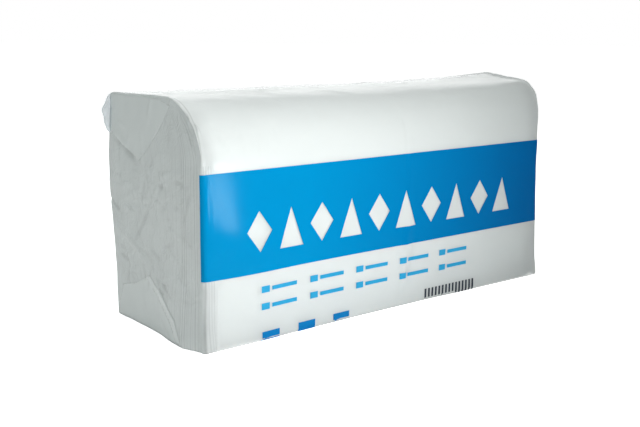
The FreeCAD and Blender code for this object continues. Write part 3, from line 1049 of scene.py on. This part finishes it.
@dataclass(frozen=True)
class FilmFinish(Finish):
    """Film whose folded places are milkier, with painted shade between the napkins' edges behind,
    in their steps, in creases and along the left edge.
    """

    folded_alpha: float = 0.92
    # How far the painted shade darkens the film
    painted_shade_depth: float = 0.30
    crinkle: float = 0.30
    cloudiness: float = 0.16

    CRINKLE_HEIGHT = 0.8 * MM
    CRINKLE_SWAY = 6.0 * MM

    def shader(self) -> bpy.types.Material:
        """Build the material on the skin's own attributes fold, layer, step and edge.

        Returns:
            The material.
        """
        paint = super().shader()
        tree = paint.node_tree
        gloss = tree.nodes["Principled BSDF"]
        fold, layer, step, edge = (
            Term(tree, add_node(tree, "ShaderNodeAttribute", attribute_name=mark).outputs["Fac"])
            for mark in ("fold", "layer", "step", "edge"))
        where = add_node(tree, "ShaderNodeTexCoord").outputs["Object"]
        # Painted shade in the gaps between the edges of the napkins behind: uneven dark streaks,
        # one for a napkin or two
        chance = add_node(tree, "ShaderNodeTexNoise", {"W": layer, "Scale": 1.9, "Detail": 2.0},
                          noise_dimensions="1D")
        gap_shade = Term(tree, colour_ramp(tree, chance.outputs["Fac"],
                                       ((0.36, WHITE), (0.50, BLACK))))
        # All the painted shade darkens the film's colour
        painted_shade = (gap_shade * edge * fold).of("MAXIMUM", step).mapped(1.0, 1.0 - self.painted_shade_depth)
        cloud = add_node(tree, "ShaderNodeTexNoise",
                         {"Vector": where, "Scale": 70.0, "Detail": 4.0})
        toned = painted_shade - fold * self.cloudiness * Term(tree, cloud.outputs["Fac"])
        colour = add_node(tree, "ShaderNodeVectorMath", {0: self.colour, "Scale": toned},
                          operation="SCALE")
        # Crinkles are facets with wavy borders
        crumple = add_node(tree, "ShaderNodeTexNoise",
                           {"Vector": where, "Scale": 240.0, "Detail": 4.0, "Distortion": 1.4})
        bent = add_node(tree, "ShaderNodeVectorMath",
                        {0: crumple.outputs["Color"], 1: (self.CRINKLE_SWAY,) * 3, 2: where},
                        operation="MULTIPLY_ADD")
        facets = add_node(tree, "ShaderNodeTexVoronoi",
                          {"Vector": bent.outputs["Vector"], "Scale": 95.0, "Detail": 1.5})
        height = Term(tree, facets.outputs["Distance"]).of("MULTIPLY_ADD", 1.6,
                                                           Term(tree, crumple.outputs["Fac"]))
        relief = add_node(tree, "ShaderNodeBump",
                          {"Strength": fold * self.crinkle, "Distance": self.CRINKLE_HEIGHT,
                           "Height": height})
        for grain in list(gloss.inputs["Normal"].links):
            fill_inputs(relief, {"Normal": grain.from_socket})
        fill_inputs(gloss, {"Alpha": fold.mapped(self.alpha, self.folded_alpha),
                            "Base Color": colour.outputs["Vector"],
                            "Normal": relief.outputs["Normal"]})
        return paint


TISSUE = Finish("embossed_tissue", (0.88, 0.91, 0.90), roughness=0.9, specular=0.2, bump=0.35,
                bump_scale=1100.0)
CLEAR_FILM = FilmFinish("clear_film", (0.89, 0.925, 0.915), roughness=0.25, alpha=0.62,
                        specular=0.5, bump=0.10, bump_scale=260.0)
FOLDED_FILM = Finish("folded_film", (0.86, 0.895, 0.885), roughness=0.25, alpha=0.92,
                     specular=0.5, bump=0.3, bump_scale=240.0)
# Paler than the film: a painted highlight along the lower hems and the back seam's rim
HIGHLIT_HEM_FILM = Finish("hem_film_painted_highlight", (0.97, 1.0, 0.99), roughness=0.25, alpha=0.85, specular=0.5)
PLEAT_FILM = Finish("pleat_film", (0.88, 0.95, 1.0), roughness=0.25, alpha=0.5, specular=0.5)
# The band's blue is printed, and painted darker towards the right end as painted shade
BAND_BLUE = Finish("band_blue", (0.0, 0.265, 0.57), roughness=0.13, specular=0.04,
                   painted_shade_colour=(0.0, 0.14, 0.42))
BAR_BLUE = Finish("bar_blue", (0.03, 0.38, 0.68), roughness=0.35, specular=0.14)
FIELD_BLUE = Finish("field_blue", (0.0, 0.19, 0.50), roughness=0.35, specular=0.14)
STRIPE_DARK = Finish("stripe_dark", (0.035, 0.045, 0.06), roughness=0.4, specular=0.2)
FLOOR_WHITE = Finish("floor_white", (0.92, 0.92, 0.92), roughness=0.8)


def finished(piece: bpy.types.Object, paint: bpy.types.Material) -> bpy.types.Object:
    """Give a piece one material and no other.

    Args:
        piece: the piece.
        paint: its material.

    Returns:
        The same piece.
    """
    piece.data.materials.clear()
    piece.data.materials.append(paint)
    return piece


def fixed_to_body(piece: bpy.types.Object, nodes: list[str]) -> None:
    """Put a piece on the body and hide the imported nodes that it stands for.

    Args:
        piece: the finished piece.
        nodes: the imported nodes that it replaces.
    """
    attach(piece, BODY)
    if nodes:
        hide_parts(*nodes)
    log.info("%s: %d faces", piece.name, len(piece.data.polygons))


def sliced(piece: bpy.types.Object, step: float, axes: str) -> None:
    """Cut a mesh on a regular grid, so that it can follow a curved surface.

    Args:
        piece: the mesh to cut.
        step: distance between cuts.
        axes: letters of the axes to cut across.
    """
    same_place, last_cell, on_plane = 0.002 * MM, 0.3, 1e-7
    with mesh_work(piece) as work:
        bmesh.ops.remove_doubles(work, verts=work.verts, dist=same_place)
        for axis in axes:
            number = "xyz".index(axis)
            places = [vertex.co[number] for vertex in work.verts]
            direction = Vector([float(k == number) for k in range(3)])
            for cut in np.arange(min(places) + step, max(places) - step * last_cell, step):
                everything = work.verts[:] + work.edges[:] + work.faces[:]
                bmesh.ops.bisect_plane(work, geom=everything, dist=on_plane, plane_no=direction,
                                       plane_co=direction * float(cut))


@dataclass
class Print:
    """One colour of the print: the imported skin, laid on the creased film."""

    surface: FilmSurface
    node: str
    slot: str
    finish: Finish
    step: float = 1.2 * MM
    lift: float = 0.06 * MM

    def build(self) -> None:
        """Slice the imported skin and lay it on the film."""
        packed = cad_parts[self.node]
        piece = linked(bpy.data.objects.new(f"{self.node}_ink", packed.data.copy()))
        sliced(piece, self.step, "xz")
        self.surface.laid(piece, self.lift, Outward(self.surface.sizes, FaceKind.FRONT))
        finished(piece, self.finish.shader())
        fixed_to_body(piece, [self.node])


@dataclass
class EndFlap:
    """A folded part of the film that lies flat on one end, or the seam that lies on the back.

    Its outline is in millimetres: first the way from the front edge, or along X on the back, then
    the height.
    """

    surface: FilmSurface
    name: str
    kind: FaceKind
    outline: Sequence[Pair]
    lift: float
    thickness: float = 0.03 * MM

    def build(self, paint: bpy.types.Material) -> None:
        """Cut the flap's outline, lay it on its face and give it its thickness.

        Args:
            paint: its material.
        """
        s = self.surface.sizes
        outward = self.kind.outward
        if self.kind is FaceKind.BACK:
            points = [Vector((x * MM, s.back, z * MM)) for x, z in self.outline]
            step, axes = 1.5 * MM, "xz"
        else:
            end = outward.x * s.half_length
            points = [Vector((end, s.front + y * MM, z * MM)) for y, z in self.outline]
            step, axes = 0.8 * MM, "yz"
        piece = linked(bpy.data.objects.new(self.name, bpy.data.meshes.new(self.name)))
        with mesh_work(piece) as work:
            work.faces.new([work.verts.new(point) for point in points])
        sliced(piece, step, axes)
        self.surface.laid(piece, self.lift, Outward(s, self.kind))
        face_like(piece, outward)
        thickened(piece, self.thickness, 1.0)
        finished(piece, paint)
        fixed_to_body(piece, [])


def face_like(piece: bpy.types.Object, direction: Vector) -> None:
    """Turn a sheet's faces towards a direction.

    Args:
        piece: the sheet.
        direction: where its faces shall look.
    """
    with mesh_work(piece) as work:
        turned = [face for face in work.faces if face.normal.dot(direction) < 0]
        bmesh.ops.reverse_faces(work, faces=turned)
    piece.data.shade_smooth()


@dataclass
class FilmEar:
    """A loose pleat of film that stands out from an upper corner.

    Its root is a line of places in millimetres, and reach is the direction in which it stands out.
    """

    name: str
    root: list[Triple]
    reach: Triple
    length: float
    seed: int
    fullness: float = 0.55 * MM
    waviness: float = 0.9 * MM
    bluntness: float = 0.42

    CELLS_ALONG, CELLS_OUT = 26, 8

    def row(self, t: float) -> list[Vector]:
        """One section of the pouch, out along one side and back along the other.

        Args:
            t: how far along the root it stands, from 0 to 1.

        Returns:
            Its points, in metres.
        """
        line = [Vector(place) * MM for place in self.root]
        reach = Vector(self.reach).normalized()
        k = min(int(t * (len(line) - 1)), len(line) - 2)
        foot = line[k].lerp(line[k + 1], t * (len(line) - 1) - k)
        bulge = math.sin(math.pi * t) ** self.bluntness
        bulge *= 1.0 + 0.28 * noise.noise(Vector((t * 4.2, self.seed, 0.5)))
        aside = (line[k + 1] - line[k]).normalized().cross(reach).normalized()
        points = []
        for turn in range(2 * self.CELLS_OUT):
            share = 1.0 - abs(turn / self.CELLS_OUT - 1.0)
            sign = 1.0 if turn < self.CELLS_OUT else -1.0
            depth = math.sin(math.pi * min(share + 0.02, 1.0)) * sign * self.fullness * bulge
            wave = noise.noise(Vector((t * 5.0, share * 1.7, self.seed + 3.3))) * self.waviness
            points.append(foot + reach * (self.length * bulge * share)
                          + aside * (depth + wave * share))
        return points

    def build(self, paint: bpy.types.Material) -> None:
        """Make the pleat a thin closed pouch whose two sides meet at the rim.

        Args:
            paint: its material.
        """
        along, count = self.CELLS_ALONG, 2 * self.CELLS_OUT
        points = [point for step in range(along + 1) for point in self.row(step / along)]
        first, last = range(count), range(along * count, (along + 1) * count)
        faces = tube_faces(along + 1, count) + [tuple(first), tuple(last)]
        piece = new_object(self.name, np.array(points), faces)
        face_outwards(piece)
        finished(piece, paint)
        fixed_to_body(piece, [])


@dataclass
class Wrapper:
    """The film round the stack: skin, end flaps, corner pleats and the seam at the back."""

    sizes: PackSizes

    # Outlines of the flaps, as distance from the front edge and height, in millimetres
    UPPER_FLAP = ((17.0, 79.5), (22.0, 73.5), (29.0, 66.5), (38.3, 59.2), (48.0, 63.8),
                  (56.2, 67.9), (57.4, 81.0), (38.0, 81.4), (24.0, 81.2))
    LOWER_FLAP = ((9.8, 0.3), (14.0, 8.2), (24.3, 14.8), (33.0, 19.8), (43.4, 14.9),
                  (52.7, 12.5), (57.0, 3.5), (57.2, 0.3))
    LOWER_HEM = ((10.0, 0.6), (14.2, 8.0), (24.4, 14.6), (33.0, 19.6), (34.8, 17.8),
                 (26.2, 12.2), (17.0, 5.8), (13.2, 0.6))

    def build(self) -> FilmSurface:
        """Make every part of the film.

        Returns:
            The finished skin.
        """
        surface = FilmSurface(FilmForm(self.sizes, FilmRelief(self.sizes)))
        fixed_to_body(finished(surface.piece("film_skin"), CLEAR_FILM.shader()),
                      ["film_wrap"])
        folded, highlit_hem = FOLDED_FILM.shader(), HIGHLIT_HEM_FILM.shader()
        for kind in ENDS:
            for name, outline, lift, paint in (
                    ("upper_flap", self.UPPER_FLAP, 0.05 * MM, folded),
                    ("lower_flap", self.LOWER_FLAP, 0.08 * MM, folded),
                    ("lower_hem", self.LOWER_HEM, 0.09 * MM, highlit_hem)):
                EndFlap(surface, f"{kind.word}_{name}", kind, outline, lift).build(paint)
        self.back_seam(surface, folded, highlit_hem)
        self.corner_ears(PLEAT_FILM.shader())
        return surface

    def back_seam(self, surface: FilmSurface, paint: bpy.types.Material,
                  rim_highlight_paint: bpy.types.Material) -> None:
        """Lay the film's two long edges over each other along the back.

        Args:
            surface: the finished skin.
            paint: material of the seam.
            rim_highlight_paint: material of its upper edge, painted paler as a painted highlight.
        """
        half = self.sizes.half_length / MM - self.sizes.back_corner / MM
        runs = np.linspace(-half, half, 40)
        rim_height = 1.1
        upper = [(x, 26.0 + 0.35 * math.sin(x * 0.11) + 0.2 * math.sin(x * 0.37)) for x in runs]
        foot = [(x, 14.0 + 0.25 * math.sin(x * 0.09 + 1.0)) for x in runs[::-1]]
        rim = [(x, z - rim_height) for x, z in upper[::-1]]
        back = FaceKind.BACK
        EndFlap(surface, "back_seam", back, upper + foot, 0.04 * MM).build(paint)
        EndFlap(surface, "back_seam_rim", back, upper + rim, 0.08 * MM).build(rim_highlight_paint)

    def corner_ears(self, paint: bpy.types.Material) -> None:
        """Make the pleats at the back of the left end and at the front of the right end.

        Args:
            paint: their material.
        """
        half, back, front = (size / MM for size in
                             (self.sizes.half_length, self.sizes.back, self.sizes.front))
        FilmEar("left_ear", [(-half + 0.4, back - 1.5, 81.6), (-half - 1.0, back - 2.2, 74.5),
                             (-half - 1.0, back - 1.8, 67.0)],
                (-1.0, 0.30, 0.05), 3.6 * MM, 5).build(paint)
        FilmEar("right_ear", [(half - 2.0, front + 7.0, 78.5), (half - 0.8, front + 3.0, 72.0),
                              (half - 0.6, front + 1.6, 62.0)],
                (1.0, -0.35, 0.05), 2.6 * MM, 9).build(paint)


class NapkinTree:
    """Geometry Nodes tree of one folded napkin: nested leaves that lean over at the top."""

    INPUTS = ("Half length", "Stack front", "Pitch", "Shoulder", "Bend start", "Floor",
              "Leaf thickness", "End steps", "Crown height", "Crown run", "Crown front",
              "Crown back", "Crown fill", "Number", "Count", "Fold turn")
    WHOLE_INPUTS = ("Leaves", "Seed")
    # Shares of a leaf's half width: up to FOLD it turns over, up to BEND it follows the shoulder
    FOLD, BEND = 2.0 / 12.0, 8.0 / 12.0
    CELLS_ALONG, CELLS_ROUND = 9, 24
    # Leaves keep this share of their napkin's thickness, so that neighbours don't touch
    CLEARANCE = 0.94

    def __init__(self, tissue: bpy.types.Material) -> None:
        """Build the tree.

        Args:
            tissue: material of the leaves.
        """
        self.tree = bpy.data.node_groups.new("folded_napkin", "GeometryNodeTree")
        self.sockets: dict[str, str] = {}
        for names, kind in ((self.INPUTS, "NodeSocketFloat"), (self.WHOLE_INPUTS, "NodeSocketInt")):
            for name in names:
                socket = self.tree.interface.new_socket(name=name, in_out="INPUT",
                                                        socket_type=kind)
                self.sockets[name] = socket.identifier
        self.tree.interface.new_socket(name="Geometry", in_out="OUTPUT",
                                       socket_type="NodeSocketGeometry")
        self.entry = add_node(self.tree, "NodeGroupInput").outputs
        placed = self.geometry("GeometryNodeSetPosition",
                               {"Geometry": self.nested_leaves(), "Position": self.place()})
        real = self.geometry("GeometryNodeRealizeInstances", {"Geometry": self.walls(placed)})
        dressed = self.geometry("GeometryNodeSetMaterial", {"Geometry": real, "Material": tissue})
        add_node(self.tree, "NodeGroupOutput", {"Geometry": dressed})

    def geometry(self, kind: str, inputs: dict[str | int, NodeInput],
                 **settings: str) -> bpy.types.NodeSocket:
        """Add a node that makes or changes geometry.

        Args:
            kind: the node's type.
            inputs: what each input takes.
            settings: the node's own properties.

        Returns:
            Its first output.
        """
        return add_node(self.tree, kind, inputs, **settings).outputs[0]

    def given(self, *names: str) -> list[Term]:
        """Named inputs as numbers."""
        return [Term(self.tree, self.entry[name]) for name in names]

    def nested_leaves(self) -> bpy.types.NodeSocket:
        """Make one flat sheet for each leaf, numbered in the attribute leaf.

        Returns:
            The sheets' geometry.
        """
        sheet = self.geometry("GeometryNodeMeshGrid",
                              {"Size X": 2.0, "Size Y": 2.0, "Vertices X": self.CELLS_ALONG + 1,
                               "Vertices Y": self.CELLS_ROUND + 1})
        single = self.geometry("GeometryNodeGeometryToInstance", {"Geometry": sheet})
        copies = add_node(self.tree, "GeometryNodeDuplicateElements",
                          {"Geometry": single, "Amount": self.entry["Leaves"]},
                          domain="INSTANCE").outputs
        mark = self.geometry("GeometryNodeStoreNamedAttribute",
                             {"Geometry": copies["Geometry"], "Name": "leaf",
                              "Value": copies["Duplicate Index"]},
                             domain="INSTANCE", data_type="FLOAT")
        return self.geometry("GeometryNodeRealizeInstances", {"Geometry": mark})

    def place(self) -> bpy.types.NodeSocket:
        """Work out where each point of a leaf goes: up, over the fold and down again.

        Returns:
            The socket of the point's place.
        """
        position = add_node(self.tree, "GeometryNodeInputPosition").outputs["Position"]
        where = add_node(self.tree, "ShaderNodeSeparateXYZ", {"Vector": position}).outputs
        along, side = Term(self.tree, where["X"]), Term(self.tree, where["Y"])
        mark = add_node(self.tree, "GeometryNodeInputNamedAttribute", {"Name": "leaf"},
                        data_type="FLOAT")
        leaf = Term(self.tree, mark.outputs["Attribute"])
        leaves, number, count = self.given("Leaves", "Number", "Count")
        pitch, radius, start, turn_end = self.given("Pitch", "Shoulder", "Bend start", "Fold turn")
        front, floor, full_half, end_steps = self.given("Stack front", "Floor", "Half length",
                                                        "End steps")
        # The leaf's own offset from the middle of the napkin, as a share of its thickness
        span = 0.5 - (leaf + 0.5) / (leaves * 2.0)
        far = side.of("ABSOLUTE")
        swing = (far / self.FOLD).clamped() * (math.pi / 2)
        bend = ((far - self.FOLD) / (self.BEND - self.FOLD)).clamped()
        down = ((far - self.BEND) / (1.0 - self.BEND)).clamped()
        across = side.of("SIGN") * span * swing.of("SINE") * self.CLEARANCE + 0.5
        middle_share = 1.0 - (number + 0.5) / count
        speed_y = middle_share * radius * turn_end.of("SINE")
        speed_z = radius * turn_end.of("COSINE")
        speed = (speed_y * speed_y + speed_z * speed_z).of("SQRT")
        crest = span * pitch * swing.of("COSINE") * self.CLEARANCE
        turn = turn_end * (1.0 - bend) + crest / speed
        share = 1.0 - (number + across) / count
        y = front + (number + across) * pitch + share * radius * (1.0 - turn.of("COSINE"))
        z = start + radius * turn.of("SINE") - down * (start - floor)
        # Every leaf ends a little further in or out than the next
        chance = add_node(self.tree, "FunctionNodeRandomValue",
                          {"ID": leaf, "Seed": self.entry["Seed"]}, data_type="FLOAT")
        drawn = next(socket for socket in chance.outputs if socket.type == "VALUE")
        half = full_half - Term(self.tree, drawn) * end_steps
        x = (along * (math.pi / 2)).of("SINE") * half
        # Towards the right end the folds are fluffed up
        crown_height, crown_run, crown_front, crown_back, crown_fill = self.given(
            "Crown height", "Crown run", "Crown front", "Crown back", "Crown fill")
        rise = ((x - full_half + crown_run) / crown_run).clamped()
        rise = rise * rise.of("SQRT")
        in_front = y.of("LESS_THAN", 0.0)
        forward = (y / crown_front * -1.0).clamped()
        backward = (y / crown_back).clamped()
        hump = 1.0 - forward * in_front - backward * (1.0 - in_front)
        upper = ((z - start) / (radius * 0.9)).clamped()
        sine = ((z - start) / radius).clamped()
        cosine = (1.0 - sine * sine).of("SQRT")
        fill = sine * sine * sine * cosine * cosine * 4.0 * crown_fill * share * share
        back_sink = 0.5 * MM
        lift = rise * (hump * upper * crown_height + fill * sine)
        lift = lift - upper * (y / radius).clamped() * back_sink
        final = {"X": x, "Y": y - rise * fill * cosine, "Z": z + lift}
        return add_node(self.tree, "ShaderNodeCombineXYZ", final).outputs["Vector"]

    def walls(self, sheets: bpy.types.NodeSocket) -> bpy.types.NodeSocket:
        """Give every leaf its thickness as a closed wall.

        Args:
            sheets: the leaves as sheets.

        Returns:
            The closed leaves.
        """
        thick = self.geometry("GeometryNodeExtrudeMesh",
                              {"Mesh": sheets, "Individual": False,
                               "Offset Scale": self.entry["Leaf thickness"]})
        back = self.geometry("GeometryNodeFlipFaces", {"Mesh": sheets})
        both = add_node(self.tree, "GeometryNodeJoinGeometry", {"Geometry": thick})
        fill_inputs(both, {"Geometry": back})
        weld = {"Geometry": both.outputs["Geometry"], "Distance": 0.001 * MM}
        return self.geometry("GeometryNodeMergeByDistance", weld)

    def piece(self, name: str, values: dict[str, float]) -> bpy.types.Object:
        """Run the tree with its inputs set and keep the result as a plain mesh.

        Args:
            name: the piece's name.
            values: value of each named input.

        Returns:
            The new object.
        """
        piece = linked(bpy.data.objects.new(name, bpy.data.meshes.new(name)))
        modifier = piece.modifiers.new("fold", "NODES")
        modifier.node_group = self.tree
        for label, value in values.items():
            modifier[self.sockets[label]] = value
        return applied(piece)


@dataclass
class NapkinStack:
    """The folded napkins, each made of nested leaves."""

    sizes: PackSizes
    seed: int = 5
    leaves: int = 4
    leaf_thickness: float = 0.085 * MM
    end_steps: float = 0.55 * MM

    def fold_turn(self, number: int, width: float) -> float:
        """Turn of the shoulder's bend at which a napkin's width is used up.

        Args:
            number: the napkin's number, from 0 at the front.
            width: its folded width, in metres.

        Returns:
            The turn, in radians.
        """
        s = self.sizes
        radius = s.shoulder - s.wall
        across = max(1.0 - (number + 0.5) / s.napkin_count, 1e-3) * radius
        left = width - s.pitch / 2 - (s.top - s.wall - radius - s.wall)
        turn, step = 0.0, math.radians(1.0)
        while left > 0.0:
            middle = turn + step / 2
            left -= step * math.hypot(across * math.sin(middle), radius * math.cos(middle))
            turn += step
        return turn

    def build(self) -> None:
        """Fold every napkin and put it in its packed napkin's place."""
        s = self.sizes
        tissue = TISSUE.shader()
        tree = NapkinTree(tissue)
        draw = np.random.default_rng(self.seed)
        last_low, last_high = node_box(f"napkin_{s.napkin_count:02d}")
        shared = {
            "Stack front": s.stack_front, "Pitch": s.pitch, "Shoulder": s.shoulder - s.wall,
            "Bend start": s.top - s.shoulder, "Floor": s.wall, "Count": float(s.napkin_count),
            "Leaf thickness": self.leaf_thickness, "End steps": self.end_steps,
            "Crown height": s.crown_height, "Crown run": s.crown_run,
            "Crown front": s.crown_front, "Crown back": s.crown_back,
            "Crown fill": s.crown_fill, "Leaves": self.leaves,
        }
        for number in range(s.napkin_count):
            node = f"napkin_{number + 1:02d}"
            piece = tree.piece(f"folded_{node}", {
                **shared, "Number": float(number), "Seed": number,
                "Half length": node_box(node)[1].x + draw.uniform(-0.25, 0.45) * MM,
                "Fold turn": self.fold_turn(number, last_high.z - last_low.z),
            })
            piece.data.shade_smooth()
            finished(piece, tissue)
            fixed_to_body(piece, [node])


@dataclass(frozen=True)
class Lamp:
    """A soft square or rectangular lamp that faces a point."""

    name: str
    place: Triple
    aim: Triple
    size: float
    power: float
    colour: Triple = WHITE
    height: float | None = None
    spread: float = 180.0
    glossy: bool = True
    only_glossy: bool = False

    def hang(self) -> None:
        """Make the lamp and hang it in its place."""
        data = bpy.data.lights.new(self.name, "AREA")
        data.size = self.size
        data.energy = self.power
        data.color = self.colour
        data.spread = math.radians(self.spread)
        if self.height is not None:
            data.shape = "RECTANGLE"
            data.size_y = self.height
        lamp = linked(bpy.data.objects.new(self.name, data))
        lamp.location = self.place
        ahead = Vector(self.aim) - Vector(self.place)
        lamp.rotation_euler = ahead.to_track_quat("-Z", "Y").to_euler()
        lamp.visible_glossy = self.glossy
        if self.only_glossy:
            lamp.visible_diffuse = False
            lamp.visible_camera = False


@dataclass
class Studio:
    """Camera, lights and floor. The camera's angles are in degrees."""

    focal: float = 53.4
    sensor: float = 36.0
    place: Triple = (-0.2399, -0.2819, 0.1044)
    yaw: float = 39.09
    pitch: float = 11.055
    roll: float = 0.365
    floor_glow: float = 0.85
    floor_radius: float = 6.0
    fill_colour: Triple = (0.93, 1.0, 0.985)
    fill_strength: float = 0.20

    LAMPS = (
        Lamp("key", (0.02, -0.26, 0.12), (-0.16, 0.0, 0.05), 0.08, 0.283, spread=120.0,
             glossy=False),
        Lamp("top", (0.0, 0.20, 0.52), (0.0, 0.0, 0.06), 0.40, 1.15),
        Lamp("side", (-0.55, -0.02, 0.32), (-0.08, 0.0, 0.06), 0.30, 0.62, (0.94, 1.0, 0.985)),
        Lamp("sheen", (-0.001, -0.153, 0.032), (-0.077, -0.03, 0.052), 0.012, 0.030,
             (0.72, 0.94, 1.0), height=0.018, only_glossy=True),
        Lamp("card", (0.34, 0.49, 0.16), (0.0, 0.0, 0.08), 0.66, 2.2, only_glossy=True),
    )

    def camera(self) -> None:
        """Stand the camera where the photograph was taken from."""
        data = bpy.data.cameras.new("camera")
        data.lens = self.focal
        data.sensor_width = self.sensor
        data.clip_start = 0.01
        camera = linked(bpy.data.objects.new("camera", data))
        yaw, pitch, roll = (math.radians(a) for a in (self.yaw, self.pitch, self.roll))
        ahead = Vector((math.sin(yaw) * math.cos(pitch), math.cos(yaw) * math.cos(pitch),
                        -math.sin(pitch)))
        right = Vector((math.cos(yaw), -math.sin(yaw), 0))
        upward = right.cross(ahead)
        turned_right = right * math.cos(roll) + upward * math.sin(roll)
        turned_up = upward * math.cos(roll) - right * math.sin(roll)
        rows = Matrix((turned_right, turned_up, -ahead)).transposed().to_4x4()
        camera.matrix_world = Matrix.Translation(self.place) @ rows
        bpy.context.scene.camera = camera

    def backdrop(self) -> None:
        """Show white behind the pack and light it with a weak tinted fill."""
        world = bpy.data.worlds.new("studio")
        bpy.context.scene.world = world
        world.use_nodes = True
        tree = world.node_tree
        seen = tree.nodes["Background"]
        fill_inputs(seen, {"Color": (*WHITE, 1.0), "Strength": 1.0})
        fill = add_node(tree, "ShaderNodeBackground", {"Color": (*self.fill_colour, 1.0),
                                                       "Strength": self.fill_strength})
        path = add_node(tree, "ShaderNodeLightPath").outputs
        choice = add_node(tree, "ShaderNodeMixShader",
                          {"Fac": path["Is Camera Ray"], 1: fill.outputs["Background"],
                           2: seen.outputs["Background"]})
        fill_inputs(tree.nodes["World Output"], {"Surface": choice.outputs["Shader"]})

    def floor(self) -> None:
        """Lay a white floor that meets the white backdrop without a line."""
        bpy.ops.mesh.primitive_circle_add(vertices=64, radius=self.floor_radius,
                                          fill_type="NGON")
        floor = bpy.context.object
        floor.name = "floor"
        paint = FLOOR_WHITE.shader()
        tree = paint.node_tree
        seen = Term(tree, add_node(tree, "ShaderNodeLightPath").outputs["Is Camera Ray"])
        fill_inputs(tree.nodes["Principled BSDF"], {"Emission Color": (*WHITE, 1.0),
                                                    "Emission Strength": seen * self.floor_glow})
        finished(floor, paint)

    def build(self) -> None:
        """Set up the camera, the lamps, the world and the floor."""
        self.camera()
        for lamp in self.LAMPS:
            lamp.hang()
        bpy.context.scene.view_settings.view_transform = "Standard"
        self.backdrop()
        self.floor()


def main() -> None:
    """Build the pack and its studio."""
    logging.basicConfig(level=logging.INFO, format="%(name)s %(message)s")
    sizes = PackSizes.from_frame()
    log.info("pack %.1f by %.1f by %.1f mm", 2 * sizes.half_length / MM,
             (sizes.back - sizes.front) / MM, sizes.top / MM)
    Studio().build()
    surface = Wrapper(sizes).build()
    NapkinStack(sizes).build()
    for node, slot, finish in (("print_band", "band_ink", BAND_BLUE),
                               ("print_bars", "bar_ink", BAR_BLUE),
                               ("print_fields", "field_ink", FIELD_BLUE),
                               ("print_stripes", "stripe_ink", STRIPE_DARK)):
        Print(surface, node, slot, finish).build()


if __name__ == "__main__":
    main()
